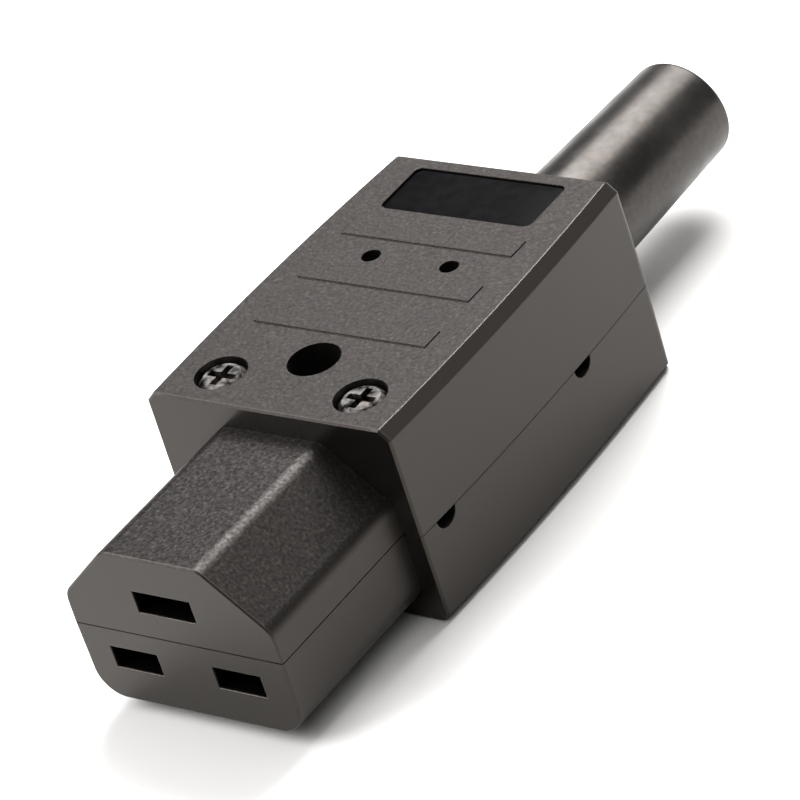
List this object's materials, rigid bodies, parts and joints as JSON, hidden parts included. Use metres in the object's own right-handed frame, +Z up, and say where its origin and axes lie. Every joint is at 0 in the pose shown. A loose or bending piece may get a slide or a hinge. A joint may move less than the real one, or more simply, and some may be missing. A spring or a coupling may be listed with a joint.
{
  "type": "iec power socket",
  "caption": "In-line appliance power socket: bevelled slotted nose on a screwed two-part housing, tapered rubber cord sleeve behind.",
  "frame": {"origin": "centre of the connector's footprint, on the flat underside of the housing", "axes": "+X to the right seen from the nose's front with the earth slot up, +Y from the nose towards the cord sleeve, +Z up"},
  "size_m": [0.0346, 0.1036, 0.0258],
  "materials": {
    "housing": "spark-eroded matt",
    "carrier": "moulded",
    "contacts": "rolled sheet",
    "terminals": "machined",
    "screws": "zinc plated",
    "sleeve": "smooth satin"
  },
  "bodies": {
    "root": {"upper_shell": "housing", "lower_shell": "housing", "contact_carrier": "carrier", "earth_contact": "contacts", "line_contact": "contacts", "neutral_contact": "contacts", "earth_terminal": "terminals", "line_terminal": "terminals", "neutral_terminal": "terminals", "earth_terminal_screw": "screws", "line_terminal_screw": "screws", "neutral_terminal_screw": "screws", "earth_wire_guard": "contacts", "line_wire_guard": "contacts", "neutral_wire_guard": "contacts", "housing_screw_left": "screws", "housing_screw_right": "screws", "housing_screw_centre": "screws", "cord_clamp_bar": "carrier", "cord_clamp_screw_left": "screws", "cord_clamp_screw_right": "screws", "cord_sleeve": "sleeve"}
  },
  "joints": []
}
